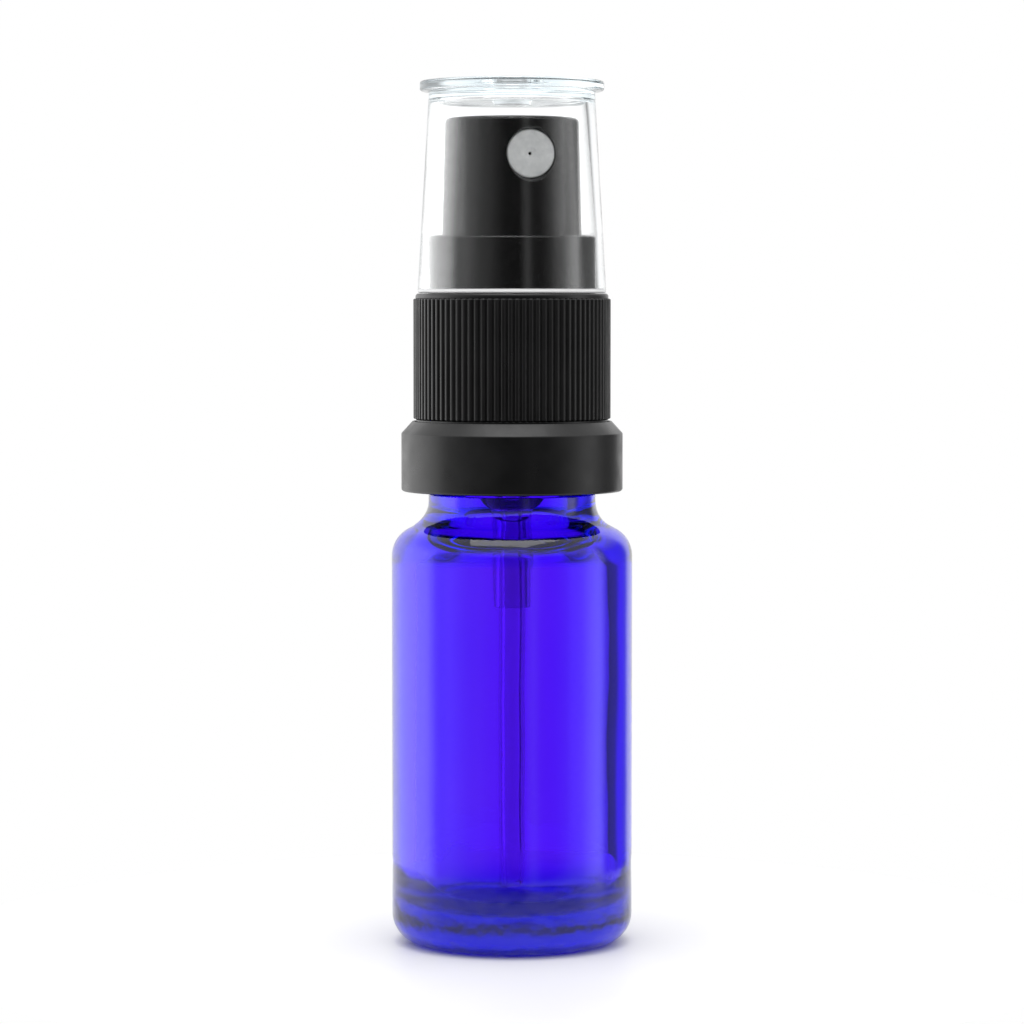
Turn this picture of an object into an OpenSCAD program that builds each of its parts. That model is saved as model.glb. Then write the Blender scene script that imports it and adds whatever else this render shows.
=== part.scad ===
// Fine-mist perfume atomiser: a 10 ml glass bottle with a tamper-evident screw sprayer
// and a push-on overcap. Millimetres, +Z up, origin at the centre of the bottle's foot.
// The nozzle faces -Y.

/* [Bottle] */
// Outer diameter of the body
body_d = 24.8; // [24.4:0.1:25.2]
// Height at which the straight wall ends and the shoulder begins
shoulder_z = 40; // [39.5:0.1:40.5]
// Wall thickness of the body
glass_wall = 2.45; // [1.8:0.05:2.6]
// Radius of the rounding round the heel
heel_r = 3; // [2:0.1:3.4]
// Height of the domed hollow under the base
punt_h = 1.4; // [0.8:0.1:1.8]
// Height of the inner floor at its edge
floor_z = 3.5; // [3:0.1:3.8]

/* [Neck] */
// Inner diameter of the mouth
mouth_d = 11.6; // [11:0.1:11.8]
// Outer diameter of the neck between the threads
neck_root_d = 16; // [15.8:0.1:16.2]
// Outer diameter over the glass thread
thread_d = 17.9; // [17.5:0.1:17.9]
// Rise of the thread in one turn
thread_pitch = 3; // [2.9:0.1:3.1]
// Height of the glass lip
lip_z = 58.5; // [58.4:0.1:58.5]

/* [Closure] */
// Diameter over the ribs
closure_d = 20.3; // [20.1:0.1:20.5]
// Number of grip ribs
rib_count = 90; // [60:1:110]
// Depth of the grooves between the ribs
rib_depth = 0.25; // [0.15:0.05:0.35]
// Outer diameter of the tamper band
band_d = 22.8; // [22.4:0.1:23.2]
// Number of breakaway ties
tie_count = 10; // [6:1:14]

/* [Sprayer head] */
// Outer diameter of the turret ring
collar_d = 17.2; // [17:0.05:17.25]
// Diameter of the button at its skirt
button_base_d = 14.5; // [14:0.1:14.6]
// Diameter of the button at its top
button_top_d = 13.7; // [13.2:0.1:14]
// Travel of the button
stroke = 4.5; // [3.5:0.1:4.5]
// Diameter of the spray insert
insert_d = 5; // [4.6:0.1:5.2]

/* [Overcap] */
// Diameter of the open end
cap_base_d = 19.4; // [19:0.1:19.6]
// Diameter of the tube under the flange
cap_top_d = 17; // [16.8:0.1:17.4]
// Diameter of the flange at the closed end
cap_flange_d = 18.9; // [18:0.1:19.6]

/* [Hidden] */
$fn = 96;

// Clearances between parts that slide or turn on each other, and between pressed parts
slide_gap = 0.05;
guide_gap = 0.09;
press_gap = 0.01;

// Body and neck of the bottle
body_r = body_d / 2;
mouth_r = mouth_d / 2;
neck_root_r = neck_root_d / 2;
thread_r = thread_d / 2;
foot_r = body_r - heel_r;
punt_r = foot_r - 1;
shoulder_r = 3.1;
shoulder_angle = 62;
neck_fillet_r = 3;
neck_base_r = 8.6;
groove_r = 8.2;
bead_r = 9.05;
bead_z = 49.6;
bore_wall_r = body_r - glass_wall;
inner_heel_r = 2.5;
inner_shoulder_r = 2.2;
inner_fillet_r = 2.5;

// Heights of the stack on the lip
gasket_t = 1.2;
flange_t = 1.5;
web_t = 1.2;
flange_z = lip_z + gasket_t;
web_z = flange_z + flange_t;
web_top_z = web_z + web_t;

// Closure and band
closure_r = closure_d / 2;
closure_root_r = closure_r - rib_depth;
closure_bore_r = 9.2;
closure_low_z = 51.2;
closure_top_z = 67;
rib_low_z = 54.2;
rib_top_z = 66.4;
turret_bore_r = 8.75;
web_hole_r = 5.6;
closure_crest_r = 8.25;
band_r = band_d / 2;
band_low_z = 46.7;
band_top_z = 53.9;
band_bore_r = 10.05;
band_shelf_z = 50.6;
band_shelf_r = 9.3;
lug_r = 8.72;

// Pump
barrel_bore_r = 3;
barrel_r = 3.8;
cup_bore_r = 3.9;
cup_r = 4.8;
cup_low_z = 60.6;
cup_top_z = 65.5;
spring_seat_z = 47.3;
ball_r = 1.1;
ball_seat_z = 44.2;
ball_seat_r = 0.8;
tail_low_z = 34.7;
tail_low_r = 1.85;
tail_bore_r = 1.35;
tube_bore_r = 0.8;
tube_low_z = 4.3;
tube_top_z = 42.4;
vent_z = 58;

// Stem, piston and springs
stem_r = 1.75;
stem_bore_r = 0.85;
stem_low_z = 57.6;
stem_top_z = 77.5;
stem_flange_z = 63.5;
lost_motion = 0.6;
pressed_spring_h = 3.5;
seat_disc_z = spring_seat_z + pressed_spring_h + stroke;
seat_disc_t = 1;
piston_top_z = 60.2;

// Head
collar_r = collar_d / 2;
collar_bore_r = 7.5;
collar_low_z = web_top_z + 0.1;
collar_top_z = 72.8;
collar_floor_t = 1;
button_gap = 1.5;
button_low_z = collar_low_z + collar_floor_t + button_gap + stroke;
button_top_z = 84.9;
button_wall = 0.9;
nozzle_z = 81.1;
insert_r = insert_d / 2;
insert_face_y = -6.4;
socket_floor_y = -3.2;
post_r = 1.2;

// Overcap
cap_low_z = closure_top_z + slide_gap;
cap_grip_z = 73.2;
cap_flange_z = 87.7;
cap_top_z = 88.7;
cap_roof_z = 86.9;

// Points along an arc about (cx, cz), from angle a0 to angle a1
function arc(cx, cz, r, a0, a1, n = 6) =
    [for (i = [0 : n]) let (a = a0 + (a1 - a0) * i / n) [cx + r * cos(a), cz + r * sin(a)]];

// Outline from a convex shoulder arc, over a straight flank, into a concave neck fillet,
// from the wall inwards and upwards
function shoulder_line(wall_r, z, convex_r, neck_r, concave_r) =
    let (
        flank_r = wall_r - convex_r * (1 - cos(shoulder_angle)),
        fillet_start_r = neck_r + concave_r * (1 - cos(shoulder_angle)),
        flank_rise = (flank_r - fillet_start_r) / tan(shoulder_angle),
        fillet_z = z + (convex_r + concave_r) * sin(shoulder_angle) + flank_rise
    )
    concat(
        arc(wall_r - convex_r, z, convex_r, 0, shoulder_angle),
        arc(neck_r + concave_r, fillet_z, concave_r, 180 + shoulder_angle, 180)
    );

// The outline reversed, for the way back down the inside of a wall
function reversed(points) = [for (i = [len(points) - 1 : -1 : 0]) points[i]];

// Triangles that join ring i of a swept section with n points to the next ring
function ring_faces(i, n) =
    [for (k = [0 : n - 1]) let (a = i * n + k, b = i * n + (k + 1) % n)
        each [[a, b, b + n], [a, b + n, a + n]]];

// Solid swept through a list of rings that each have n points
module swept(rings) {
    n = len(rings[0]);
    last = len(rings) - 1;
    polyhedron(
        points = [for (ring = rings) each ring],
        faces = concat(
            [[for (k = [n - 1 : -1 : 0]) k]],
            [for (i = [0 : last - 1]) each ring_faces(i, n)],
            [[for (k = [0 : n - 1]) last * n + k]]
        )
    );
}

// Point at radius r and height z, turned by angle a about Z
function turned(r, z, a) = [r * cos(a), r * sin(a), z];

// Thread ridge with a trapezoidal section that fades in and out at its ends.
// root_r is inside the wall that carries it and crest_r is its free edge.
module thread_ridge(root_r, crest_r, z, start_a, turns) {
    steps = 36 * turns;
    fade_steps = 5;
    root_half = 0.65;
    crest_half = 0.35;
    min_fade = 0.25;
    low = crest_r > root_r ? -1 : 1;
    swept([for (i = [0 : steps])
        let (
            fade = min(1, min_fade + min(i, steps - i) / fade_steps),
            a = start_a + 10 * i,
            zc = z + thread_pitch * i / 36,
            tip_r = root_r + (crest_r - root_r) * (0.5 + 0.5 * fade)
        )
        [
            turned(root_r, zc + low * root_half * fade, a),
            turned(tip_r, zc + low * crest_half * fade, a),
            turned(tip_r, zc - low * crest_half * fade, a),
            turned(root_r, zc - low * root_half * fade, a)
        ]]);
}

// Coil spring with closed ends, standing between two heights
module coil(mean_r, wire_r, low_z, high_z, turns, end_turns = 1) {
    steps_per_turn = 20;
    sides = 8;
    steps = steps_per_turn * turns;
    lift = high_z - low_z - 2 * wire_r - 2 * end_turns * 2.05 * wire_r;
    free_turns = turns - 2 * end_turns;
    swept([for (i = [0 : steps])
        let (
            t = i / steps_per_turn,
            closed_low = min(t, end_turns),
            closed_high = max(0, t - turns + end_turns),
            free = t - closed_low - closed_high,
            z = low_z + wire_r + (closed_low + closed_high) * 2.05 * wire_r + lift * free / free_turns,
            a = 360 * t
        )
        [for (k = [0 : sides - 1]) let (b = 360 * k / sides)
            turned(mean_r + wire_r * cos(b), z + wire_r * sin(b), a)]]);
}

// Glass bottle: foot ring and punt, heel, straight wall, shoulder, tamper bead, neck thread
module bottle() {
    dome_r = (punt_r * punt_r + punt_h * punt_h) / (2 * punt_h);
    inner_shoulder_z = shoulder_z - 0.9;
    thread_z = 52.3;
    color("mediumblue")
    union() {
        rotate_extrude()
            polygon(concat(
                arc(0, punt_h - dome_r, dome_r, 90, 90 - asin(punt_r / dome_r)),
                arc(foot_r, heel_r, heel_r, -90, 0, 8),
                shoulder_line(body_r, shoulder_z, shoulder_r, neck_base_r, neck_fillet_r),
                [
                    [neck_base_r, 46.2], [groove_r, 46.6], [groove_r, bead_z - 0.4],
                    [bead_r - 0.2, bead_z - 0.1], [bead_r, bead_z + 0.1],
                    [bead_r, bead_z + 0.5], [neck_root_r, bead_z + 1.3]
                ],
                arc(neck_root_r - 0.5, lip_z - 0.5, 0.5, 0, 90, 4),
                arc(mouth_r + 0.3, lip_z - 0.3, 0.3, 90, 180, 3),
                reversed(shoulder_line(
                    bore_wall_r, inner_shoulder_z, inner_shoulder_r, mouth_r, inner_fillet_r)),
                arc(bore_wall_r - inner_heel_r, floor_z + inner_heel_r, inner_heel_r, 0, -90),
                [[0, floor_z + 0.3]]
            ));
        thread_ridge(neck_root_r - 0.4, thread_r, thread_z, 0, 1.5);
    }
}

// Tamper band: stays under the glass bead when its ties break
module tamper_band() {
    color([0.06, 0.06, 0.07])
    rotate_extrude()
        polygon([
            [9.4, band_low_z], [band_r - 0.25, band_low_z], [band_r, band_low_z + 0.25],
            [band_r, 52.7], [band_bore_r + 0.2, band_top_z], [band_bore_r, band_top_z],
            [band_bore_r, band_shelf_z], [band_shelf_r, band_shelf_z],
            [band_shelf_r, 49.1], [lug_r, 48.8], [lug_r, 48.2], [band_shelf_r, 47.2]
        ]);
}

// Breakaway ties between the closure's skirt and the shelf of the band
module tamper_bridges() {
    tie_w = 0.7;
    tie_depth = 0.45;
    tie_r = 9.62;
    color([0.06, 0.06, 0.07])
    for (i = [0 : tie_count - 1])
        rotate(360 * i / tie_count)
            translate([tie_r - tie_depth / 2, -tie_w / 2, band_shelf_z])
                cube([tie_depth, tie_w, closure_low_z - band_shelf_z]);
}

// Outline of the ribbed grip, seen from above
module rib_outline() {
    pitch_a = 360 / rib_count;
    polygon([for (i = [0 : rib_count - 1], k = [[0, 0], [0.2, 1], [0.5, 1], [0.7, 0]])
        let (r = closure_root_r + k[1] * rib_depth, a = (i + k[0]) * pitch_a)
        [r * cos(a), r * sin(a)]]);
}

// Ribbed screw closure with its internal thread and the web that clamps the pump flange
module closure() {
    thread_z = 51.1 + thread_pitch * 100 / 360;
    grip_bed_r = closure_root_r - 0.2;
    grip_core_r = closure_root_r - 0.4;
    color([0.06, 0.06, 0.07])
    union() {
        rotate_extrude()
            polygon([
                [closure_bore_r, closure_low_z], [closure_root_r, closure_low_z],
                [closure_root_r, rib_low_z], [grip_bed_r, rib_low_z],
                [grip_bed_r, rib_top_z], [closure_root_r, rib_top_z],
                [closure_root_r, closure_top_z - 0.2], [closure_root_r - 0.2, closure_top_z],
                [turret_bore_r, closure_top_z], [turret_bore_r, web_top_z],
                [web_hole_r, web_top_z], [web_hole_r, web_z], [closure_bore_r, web_z]
            ]);
        translate([0, 0, rib_low_z])
            linear_extrude(rib_top_z - rib_low_z)
                difference() {
                    rib_outline();
                    circle(grip_core_r);
                }
        thread_ridge(closure_bore_r + 0.3, closure_crest_r, thread_z, 100, 1.5);
    }
}

// Turret ring: guides the button, grips the overcap and snaps onto the pump's cup
module collar() {
    sleeve_r = 5.5;
    sleeve_low_z = web_z + slide_gap;
    sleeve_top_z = collar_low_z + 2 * collar_floor_t;
    sleeve_bore_r = cup_r + 2 * press_gap;
    color([0.03, 0.03, 0.03])
    rotate_extrude()
        polygon([
            [sleeve_bore_r, sleeve_low_z], [sleeve_r, sleeve_low_z], [sleeve_r, collar_low_z],
            [collar_r, collar_low_z], [collar_r, collar_top_z - 0.3],
            [collar_r - 0.3, collar_top_z], [collar_bore_r + 0.2, collar_top_z],
            [collar_bore_r, collar_top_z - 0.2], [collar_bore_r, collar_low_z + collar_floor_t],
            [sleeve_r, collar_low_z + collar_floor_t], [sleeve_r, sleeve_top_z],
            [sleeve_bore_r, sleeve_top_z]
        ]);
}

// Clear overcap: flanged closed end with a shallow dish and a gate well
module overcap() {
    grip_bore_r = collar_r + slide_gap;
    roof_r = 7.55;
    flange_r = cap_flange_d / 2;
    dish_r = flange_r - 1.1;
    gate_r = 2.1;
    color([0.9, 0.92, 1, 0.35])
    rotate_extrude()
        polygon([
            [grip_bore_r, cap_low_z], [cap_base_d / 2 - 0.15, cap_low_z],
            [cap_base_d / 2, cap_low_z + 0.15], [cap_top_d / 2, cap_flange_z],
            [flange_r - 0.15, cap_flange_z], [flange_r, cap_flange_z + 0.15],
            [flange_r, cap_top_z - 0.15], [flange_r - 0.15, cap_top_z],
            [dish_r, cap_top_z], [dish_r - 0.2, cap_top_z - 0.3],
            [gate_r, cap_top_z - 0.3], [gate_r - 0.1, cap_top_z - 0.7], [0, cap_top_z - 0.7],
            [0, cap_roof_z - 0.5], [gate_r - 0.5, cap_roof_z - 0.5], [gate_r, cap_roof_z],
            [roof_r - 0.4, cap_roof_z], [roof_r, cap_roof_z - 0.4], [grip_bore_r, cap_grip_z]
        ]);
}

// Finger button: skirt, dished top, stem boss, feed bore and the socket of the spray insert
module actuator() {
    boss_r = 3;
    block_r = 3.5;
    feed_r = 0.4;
    feed_z = nozzle_z + 1.65;
    low_r = button_base_d / 2;
    top_r = button_top_d / 2;
    roof_z = button_top_z - 1.7;
    color([0.03, 0.03, 0.03])
    difference() {
        union() {
            rotate_extrude()
                polygon([
                    [low_r - button_wall, button_low_z], [low_r, button_low_z],
                    [top_r, button_top_z - 0.5], [top_r - 0.15, button_top_z - 0.15],
                    [top_r - 0.5, button_top_z], [top_r - 1, button_top_z - 0.05],
                    [3, button_top_z - 0.35], [0, button_top_z - 0.4],
                    [0, roof_z], [top_r - button_wall, roof_z]
                ]);
            translate([0, 0, 71.5])
                cylinder(r = boss_r, h = roof_z - 71.3);
            intersection() {
                translate([0, 0, nozzle_z])
                    rotate([90, 0, 0])
                        cylinder(r = block_r, h = 10);
                translate([0, 0, 77])
                    cylinder(r = top_r - 0.3, h = roof_z - 76.8);
            }
        }
        translate([0, 0, 71])
            cylinder(r = stem_r + press_gap, h = stem_top_z - 71);
        translate([0, 0, stem_top_z - 0.1])
            cylinder(r = stem_bore_r, h = feed_z - stem_top_z + 0.1);
        translate([0, socket_floor_y, nozzle_z])
            rotate([90, 0, 0])
                difference() {
                    cylinder(r = insert_r, h = 10);
                    translate([0, 0, -1])
                        cylinder(r = post_r, h = 1 + socket_floor_y - insert_face_y - 0.8);
                }
        translate([0, 0, feed_z])
            rotate([90, 0, 0])
                cylinder(r = feed_r, h = -socket_floor_y + 0.1);
    }
}

// Spray insert: a cup pressed over the post in the button, with a fine orifice in its face
module nozzle_insert() {
    orifice_r = 0.15;
    cone_r = 0.55;
    bore_r = post_r + 0.2;
    rear = socket_floor_y - 0.2;
    face_t = 0.6;
    color([0.85, 0.85, 0.84])
    translate([0, rear, nozzle_z])
        rotate([90, 0, 0])
            rotate_extrude()
                polygon([
                    [bore_r, 0], [insert_r - press_gap, 0],
                    [insert_r - press_gap, rear - insert_face_y - 0.2],
                    [insert_r - 0.25, rear - insert_face_y],
                    [cone_r, rear - insert_face_y], [orifice_r, rear - insert_face_y - 0.3],
                    [orifice_r, rear - insert_face_y - face_t],
                    [bore_r, rear - insert_face_y - face_t]
                ]);
}

// Soft washer between the glass lip and the pump flange
module neck_gasket() {
    color([0.85, 0.85, 0.82])
    translate([0, 0, lip_z])
        difference() {
            cylinder(r = neck_base_r, h = gasket_t);
            translate([0, 0, -1])
                cylinder(r = mouth_r, h = gasket_t + 2);
        }
}

// Pump body: flange on the gasket, cup, barrel, ball cage and the tail that holds the tube
module pump_housing() {
    cage_r = 1.35;
    throat_r = 0.9;
    throat_t = 0.3;
    color([0.88, 0.88, 0.85])
    difference() {
        rotate_extrude()
            polygon([
                [tail_bore_r, tail_low_z], [tail_low_r, tail_low_z], [2.2, 44.4],
                [2.5, 44.8], [barrel_r - 0.3, 46.2], [barrel_r, 46.8],
                [barrel_r, flange_z], [neck_base_r, flange_z], [neck_base_r, web_z],
                [cup_r, web_z], [cup_r, cup_top_z], [cup_bore_r, cup_top_z],
                [cup_bore_r, cup_low_z], [barrel_bore_r, cup_low_z - 0.2],
                [barrel_bore_r, spring_seat_z], [throat_r, spring_seat_z],
                [throat_r, spring_seat_z - throat_t], [cage_r, spring_seat_z - throat_t],
                [cage_r, ball_seat_z + cage_r - ball_seat_r], [ball_seat_r, ball_seat_z],
                [ball_seat_r, tube_top_z], [tail_bore_r, tube_top_z]
            ]);
        translate([0, 0, vent_z])
            rotate([0, 90, 0])
                cylinder(r = 0.4, h = barrel_r + 1);
    }
}

// Guide plug that closes the cup and stops the stem at the top of its travel
module chaplet() {
    plug_r = cup_bore_r - slide_gap;
    recess_r = 2.9;
    recess_top_z = 64.2;
    bore_r = stem_r + guide_gap;
    color([0.92, 0.92, 0.9])
    rotate_extrude()
        polygon([
            [recess_r, cup_low_z], [plug_r, cup_low_z], [plug_r, cup_top_z],
            [cup_r, cup_top_z], [cup_r, cup_top_z + 0.6], [cup_r - 0.2, cup_top_z + 0.8],
            [bore_r + 0.2, cup_top_z + 0.8], [bore_r, cup_top_z + 0.6],
            [bore_r, recess_top_z], [recess_r, recess_top_z]
        ]);
}

// Hollow stem that carries the button, with the flange that the small spring pushes on
module upper_stem() {
    flange_r = 2.6;
    flange_t = 0.6;
    color([0.93, 0.93, 0.92])
    rotate_extrude()
        polygon([
            [stem_bore_r, stem_low_z], [stem_r, stem_low_z], [stem_r, stem_flange_z],
            [flange_r, stem_flange_z], [flange_r, stem_flange_z + flange_t],
            [stem_r, stem_flange_z + flange_t], [stem_r, stem_top_z], [stem_bore_r, stem_top_z]
        ]);
}

// Valve seat under the piston: fluted rod above, disc, and spigot inside the return spring
module lower_stem() {
    disc_r = 2.3;
    spigot_r = 1.2;
    rod_r = stem_bore_r - slide_gap;
    rod_top_z = 60.5;
    disc_top_z = seat_disc_z + seat_disc_t;
    flute_w = 0.5;
    color([0.93, 0.93, 0.92])
    union() {
        translate([0, 0, seat_disc_z - 1.5])
            cylinder(r = spigot_r, h = 2);
        translate([0, 0, seat_disc_z])
            cylinder(r = disc_r, h = seat_disc_t);
        translate([0, 0, disc_top_z - 0.1])
            difference() {
                cylinder(r = rod_r, h = rod_top_z - disc_top_z + 0.1);
                for (side = [-1, 1])
                    translate([side * rod_r - flute_w / 2, -flute_w / 2, 0.1])
                        cube([flute_w, flute_w, rod_top_z]);
            }
    }
}

// Piston with a wiping lip at each end, sliding on the barrel and on the stem
module piston() {
    seal_gap = 0.05;
    low_z = seat_disc_z + seat_disc_t + seal_gap;
    shelf_z = stem_low_z - lost_motion - 0.1;
    lip_gap = 0.03;
    lip_r = barrel_bore_r - lip_gap;
    waist_r = 2.4;
    color([0.9, 0.9, 0.88])
    rotate_extrude()
        polygon([
            [1.45, low_z], [waist_r, low_z], [waist_r + 0.1, low_z + 0.3],
            [lip_r, low_z], [lip_r, low_z + 0.5], [waist_r, low_z + 1.1],
            [waist_r, piston_top_z - 1.1], [lip_r, piston_top_z - 0.5], [lip_r, piston_top_z],
            [waist_r + 0.1, piston_top_z - 0.3], [waist_r, piston_top_z],
            [stem_r + slide_gap, piston_top_z], [stem_r + slide_gap, shelf_z], [1.45, shelf_z]
        ]);
}

// Small spring that holds the piston on its seat until the liquid is under pressure
module precompression_spring() {
    color("silver")
    coil(2.2, 0.16, piston_top_z, stem_flange_z, 6);
}

// Main spring that brings the button back up
module return_spring() {
    color("silver")
    coil(1.98, 0.22, spring_seat_z, seat_disc_z, 7);
}

// Inlet check ball, just clear of its seat
module inlet_ball() {
    rest_gap = 0.03;
    rest_z = ball_seat_z + sqrt(ball_r * ball_r - ball_seat_r * ball_seat_r) + rest_gap;
    color("silver")
    translate([0, 0, rest_z])
        sphere(r = ball_r);
}

// Dip tube, cut aslant at its lower end
module dip_tube() {
    tube_r = tail_bore_r - 2 * press_gap;
    cut_a = 35;
    color([0.85, 0.88, 0.9, 0.6])
    difference() {
        translate([0, 0, tube_low_z])
            cylinder(r = tube_r, h = tube_top_z - tube_low_z);
        translate([0, 0, tube_low_z - 1])
            cylinder(r = tube_bore_r, h = tube_top_z);
        translate([-tube_r, 0, tube_low_z])
            rotate([0, -cut_a, 0])
                translate([-2, -3, -4])
                    cube([8, 6, 4]);
    }
}

bottle();
tamper_band();
tamper_bridges();
closure();
collar();
overcap();
actuator();
nozzle_insert();
neck_gasket();
pump_housing();
chaplet();
upper_stem();
lower_stem();
piston();
precompression_spring();
return_spring();
inlet_ball();
dip_tube();
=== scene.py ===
from math import atan2, ceil, cos, degrees, hypot, pi, radians, sin, tan, tau

import bmesh
import bpy
from mathutils import Matrix, Vector, noise


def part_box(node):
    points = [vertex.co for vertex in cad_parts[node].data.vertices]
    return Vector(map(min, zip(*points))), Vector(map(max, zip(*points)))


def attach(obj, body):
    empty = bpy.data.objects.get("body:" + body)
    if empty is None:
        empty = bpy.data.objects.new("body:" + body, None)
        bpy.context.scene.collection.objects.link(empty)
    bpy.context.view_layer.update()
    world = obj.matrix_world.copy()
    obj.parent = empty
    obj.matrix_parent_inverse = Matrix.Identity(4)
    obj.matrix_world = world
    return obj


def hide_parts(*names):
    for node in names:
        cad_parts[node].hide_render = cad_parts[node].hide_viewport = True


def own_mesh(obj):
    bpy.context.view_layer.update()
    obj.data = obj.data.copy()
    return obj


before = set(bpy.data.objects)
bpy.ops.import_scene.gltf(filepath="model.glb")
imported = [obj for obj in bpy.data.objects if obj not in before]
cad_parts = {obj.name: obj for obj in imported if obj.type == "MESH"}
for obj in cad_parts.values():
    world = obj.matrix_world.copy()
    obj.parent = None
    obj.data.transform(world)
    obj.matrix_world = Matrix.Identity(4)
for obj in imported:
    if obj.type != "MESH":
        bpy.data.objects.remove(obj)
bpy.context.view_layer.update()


# ---------------------------------------------------------------- Studio and camera
# A small white floor in a white surround, as for a catalogue picture of a small bottle.
# Reflections see a surround of their own, with tall soft lights beside and a little behind the
# bottle and a dim side by the camera, so that gloss black plastic keeps its depth.

view_azimuth = radians(-17)
eye_distance = 0.375
eye_height = 0.066
aim_height = 0.0445
light_bounces = 24

camera_data = bpy.data.cameras.new("Camera")
camera_data.lens = 128
camera_data.sensor_width = 36
camera_data.clip_start = 0.01
camera = bpy.data.objects.new("Camera", camera_data)
camera.location = (sin(view_azimuth) * eye_distance, -cos(view_azimuth) * eye_distance, eye_height)
camera_aim = Vector((0, 0, aim_height)) - camera.location
camera.rotation_euler = camera_aim.to_track_quat("-Z", "Y").to_euler()
bpy.context.scene.collection.objects.link(camera)
bpy.context.scene.camera = camera
bpy.context.scene.view_settings.view_transform = "Standard"
bpy.context.scene.cycles.max_bounces = light_bounces
bpy.context.scene.cycles.transmission_bounces = light_bounces
bpy.context.scene.cycles.glossy_bounces = light_bounces


def add_node(tree, kind, **settings):
    """New node of a tree, with settings that are its own properties."""
    node = tree.nodes.new(kind)
    for name, value in settings.items():
        setattr(node, name, value)
    return node


def dome_light(tree, bearing, height, overhead, by_bearing):
    """Background with a strength for each bearing in degrees near the horizon, and one overhead."""
    brightest = max(strength for _, strength in by_bearing)
    around = add_node(tree, "ShaderNodeValToRGB")
    around.color_ramp.interpolation = "CARDINAL"
    stops = around.color_ramp.elements
    for angle, _ in by_bearing[1:-1]:
        stops.new(0.5 + angle / 360)
    for stop, (angle, strength) in zip(stops, by_bearing):
        stop.position = 0.5 + angle / 360
        stop.color = (*[strength / brightest] * 3, 1)
    tree.links.new(bearing, around.inputs["Fac"])
    dome = add_node(tree, "ShaderNodeMix", data_type="RGBA")
    dome.inputs["B"].default_value = (*[overhead / brightest] * 3, 1)
    tree.links.new(around.outputs["Color"], dome.inputs["A"])
    tree.links.new(height, dome.inputs["Factor"])
    light = add_node(tree, "ShaderNodeBackground")
    light.inputs["Strength"].default_value = brightest
    tree.links.new(dome.outputs["Result"], light.inputs["Color"])
    return light.outputs[0]


def light_surround(white, reflected, through):
    """White world in which reflections, and views through glass, have domes of their own.

    A dome is an overhead strength and strengths by bearing, 0 at the camera, more to the right.
    """
    sides_end = 0.25
    overhead_start = 0.65
    world = bpy.data.worlds.new("Surround")
    world.use_nodes = True
    tree = world.node_tree
    tree.nodes.clear()
    direction = add_node(tree, "ShaderNodeTexCoord")
    angle = add_node(tree, "ShaderNodeMath", operation="ARCTAN2")
    for socket, axis in zip(angle.inputs, ((cos(view_azimuth), sin(view_azimuth), 0),
                                           (sin(view_azimuth), -cos(view_azimuth), 0))):
        along = add_node(tree, "ShaderNodeVectorMath", operation="DOT_PRODUCT")
        along.inputs[1].default_value = axis
        tree.links.new(direction.outputs["Generated"], along.inputs[0])
        tree.links.new(along.outputs["Value"], socket)
    bearing = add_node(tree, "ShaderNodeMapRange")
    bearing.inputs["From Min"].default_value = -pi
    bearing.inputs["From Max"].default_value = pi
    tree.links.new(angle.outputs[0], bearing.inputs["Value"])
    split = add_node(tree, "ShaderNodeSeparateXYZ")
    tree.links.new(direction.outputs["Generated"], split.inputs[0])
    height = add_node(tree, "ShaderNodeMapRange", interpolation_type="SMOOTHSTEP")
    height.inputs["From Min"].default_value = sides_end
    height.inputs["From Max"].default_value = overhead_start
    tree.links.new(split.outputs["Z"], height.inputs["Value"])
    plain = add_node(tree, "ShaderNodeBackground")
    plain.inputs["Color"].default_value = (1, 1, 1, 1)
    plain.inputs["Strength"].default_value = white
    rays = add_node(tree, "ShaderNodeLightPath")
    light = plain.outputs[0]
    for kind, dome in (("Transmission Depth", through), ("Glossy Depth", reflected)):
        unscattered = add_node(tree, "ShaderNodeMath", operation="LESS_THAN")
        unscattered.inputs[1].default_value = 1
        tree.links.new(rays.outputs["Diffuse Depth"], unscattered.inputs[0])
        direct = add_node(tree, "ShaderNodeMath", operation="MULTIPLY", use_clamp=True)
        tree.links.new(rays.outputs[kind], direct.inputs[0])
        tree.links.new(unscattered.outputs[0], direct.inputs[1])
        choice = add_node(tree, "ShaderNodeMixShader")
        tree.links.new(direct.outputs[0], choice.inputs[0])
        tree.links.new(light, choice.inputs[1])
        tree.links.new(dome_light(tree, bearing.outputs["Result"], height.outputs["Result"], *dome),
                       choice.inputs[2])
        light = choice.outputs[0]
    output = add_node(tree, "ShaderNodeOutputWorld")
    tree.links.new(light, output.inputs["Surface"])
    world.cycles.sampling_method = "NONE"
    bpy.context.scene.world = world


def add_softbox(name, side_angle, distance, height, width, tall, power):
    """Soft light facing the bottle's middle, at an angle from the camera, positive to the left."""
    bottle_middle = Vector((0, 0, 0.05))
    light = bpy.data.lights.new(name, "AREA")
    light.shape = "RECTANGLE"
    light.size = width
    light.size_y = tall
    light.energy = power
    box = bpy.data.objects.new(name, light)
    angle = view_azimuth - side_angle
    box.location = (sin(angle) * distance, -cos(angle) * distance, height)
    box.rotation_euler = (bottle_middle - box.location).to_track_quat("-Z", "Y").to_euler()
    box.visible_camera = False
    bpy.context.scene.collection.objects.link(box)


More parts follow.
